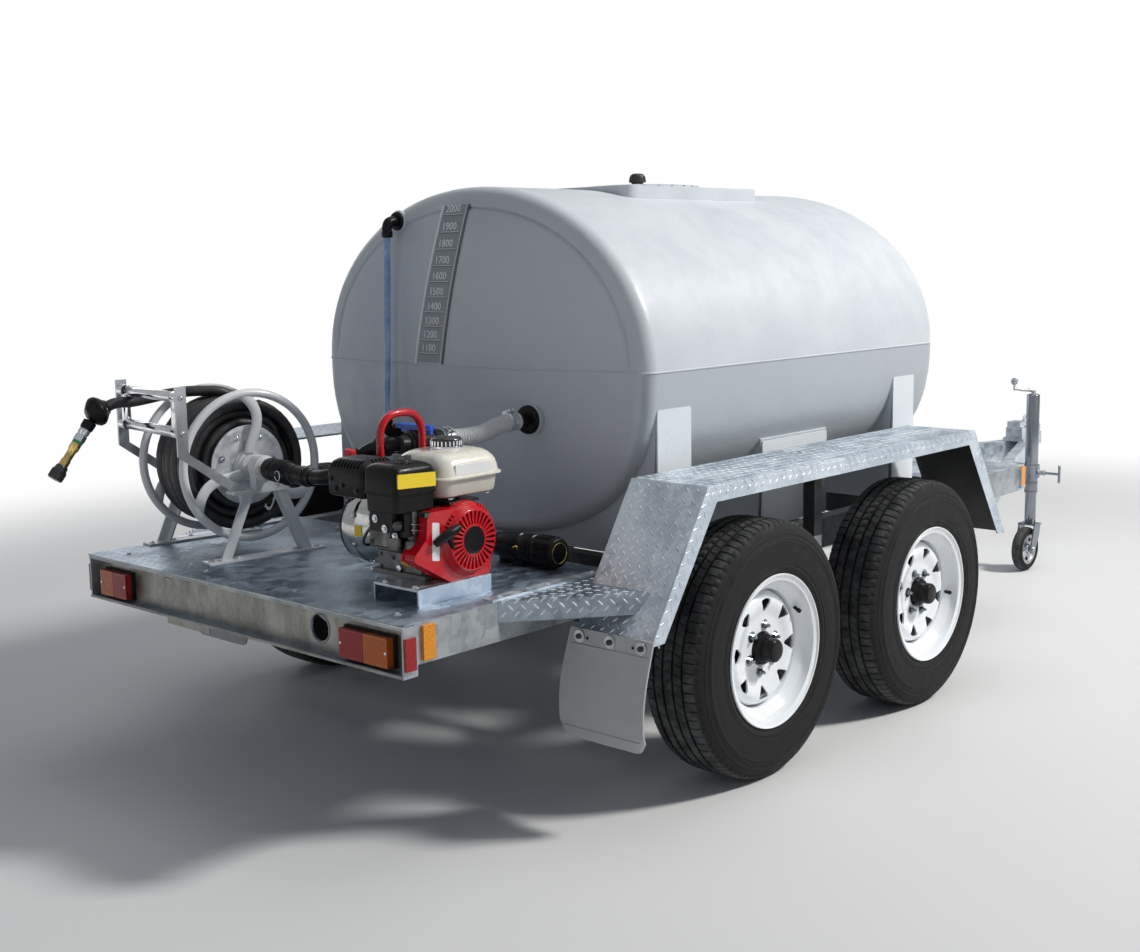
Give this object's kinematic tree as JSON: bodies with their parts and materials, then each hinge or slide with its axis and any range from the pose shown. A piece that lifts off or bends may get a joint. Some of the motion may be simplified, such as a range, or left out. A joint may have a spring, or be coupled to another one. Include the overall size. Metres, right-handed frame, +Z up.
{
  "type": "firefighting trailer",
  "caption": "Tandem-axle trailer with a moulded water tank, an engine-driven pump and a hose reel on the rear deck, folded guards over both wheels and a jockey wheel on the drawbar.",
  "frame": {"origin": "on the ground below the middle of the overall length and width", "axes": "+Y along the trailer towards the coupling, +X towards its right-hand side, +Z up"},
  "size_m": [2.036, 5.1311, 1.7443],
  "materials": {
    "galvanised": "hot-dip galvanised",
    "dark_steel": "dull dark paint",
    "tank_grey": "rotationally moulded polyethylene",
    "tyre_rubber": "matt rubber",
    "rim_white": "glossy white paint",
    "black_plastic": "satin",
    "red_paint": "glossy",
    "cream_paint": "glossy",
    "engine_metal": "cast",
    "polished_alloy": "polished",
    "reel_grey": "satin grey paint",
    "hose_black": "smooth",
    "chrome": "bright",
    "brass": "machined",
    "zinc": "zinc plated",
    "red_lens": "clear lens",
    "flap_grey": "moulded, matt",
    "suction_grey": "ribbed",
    "clear_blue": "tinted clear tube"
  },
  "bodies": {
    "trailer": {"air_cleaner": "black_plastic", "axle_front": "dark_steel", "axle_rear": "dark_steel", "carry_handle": "red_paint", "coupling": "galvanised", "cross_member_front": "dark_steel", "cross_member_middle": "dark_steel", "cross_member_rear": "dark_steel", "delivery_line": "black_plastic", "drawbar_rail_left": "galvanised", "drawbar_rail_right": "galvanised", "engine_block": "engine_metal", "engine_tray": "galvanised", "fairlead": "chrome", "fill_coupling": "black_plastic", "front_deck": "galvanised", "fuel_tank": "cream_paint", "guard_left": "galvanised", "guard_right": "galvanised", "hose_stop": "black_plastic", "hose_tail": "hose_black", "jockey_clamp": "galvanised", "jockey_outer_tube": "zinc", "mud_flap_left": "flap_grey", "mud_flap_right": "flap_grey", "muffler_guard": "black_plastic", "nozzle": "brass", "pump_casing": "polished_alloy", "rear_deck": "galvanised", "recoil_cover": "red_paint", "reel_stand_far": "reel_grey", "reel_stand_near": "reel_grey", "side_rail_left": "galvanised", "side_rail_right": "galvanised", "sight_tube": "clear_blue", "springs_left": "dark_steel", "springs_right": "dark_steel", "step_left": "galvanised", "step_right": "galvanised", "suction_hose": "suction_grey", "suction_valve": "black_plastic", "tail_lamp_left": "red_lens", "tail_lamp_right": "red_lens", "tank": "tank_grey", "tank_lid": "tank_grey", "tank_outlet": "black_plastic"},
    "wheel_rear_left": {"tyre_rear_left": "tyre_rubber", "rim_rear_left": "rim_white"},
    "wheel_rear_right": {"tyre_rear_right": "tyre_rubber", "rim_rear_right": "rim_white"},
    "wheel_front_left": {"tyre_front_left": "tyre_rubber", "rim_front_left": "rim_white"},
    "wheel_front_right": {"tyre_front_right": "tyre_rubber", "rim_front_right": "rim_white"},
    "reel": {"reel_drum": "reel_grey", "wound_hose": "hose_black"},
    "jockey_stem": {"jockey_inner_tube": "zinc"},
    "jockey_swivel": {"jockey_fork": "zinc"},
    "jockey_roller": {"jockey_wheel": "tyre_rubber"}
  },
  "joints": [
    {"name": "wheel_rear_left_spin", "type": "hinge", "parent": "trailer", "child": "wheel_rear_left", "pos_m": [-0.9155, -1.3256, 0.3675], "axis": [1, 0, 0], "continuous": true},
    {"name": "wheel_rear_right_spin", "type": "hinge", "parent": "trailer", "child": "wheel_rear_right", "pos_m": [0.9155, -1.3256, 0.3675], "axis": [1, 0, 0], "continuous": true},
    {"name": "wheel_front_left_spin", "type": "hinge", "parent": "trailer", "child": "wheel_front_left", "pos_m": [-0.9155, -0.4386, 0.3675], "axis": [1, 0, 0], "continuous": true},
    {"name": "wheel_front_right_spin", "type": "hinge", "parent": "trailer", "child": "wheel_front_right", "pos_m": [0.9155, -0.4386, 0.3675], "axis": [1, 0, 0], "continuous": true},
    {"name": "reel_spin", "type": "hinge", "parent": "trailer", "child": "reel", "pos_m": [-0.448, -2.0861, 0.871], "axis": [0.9903, -0.1392, 0], "continuous": true},
    {"name": "jockey_wind", "type": "slide", "parent": "trailer", "child": "jockey_stem", "axis": [0, 0, 1], "range_m": [-0.15, 0.125]},
    {"name": "jockey_swivel_turn", "type": "hinge", "parent": "jockey_stem", "child": "jockey_swivel", "pos_m": [0.364, 1.7179, 0.214], "axis": [0, 0, 1], "continuous": true},
    {"name": "jockey_wheel_spin", "type": "hinge", "parent": "jockey_swivel", "child": "jockey_roller", "pos_m": [0.364, 1.6729, 0.1], "axis": [1, 0, 0], "continuous": true}
  ]
}
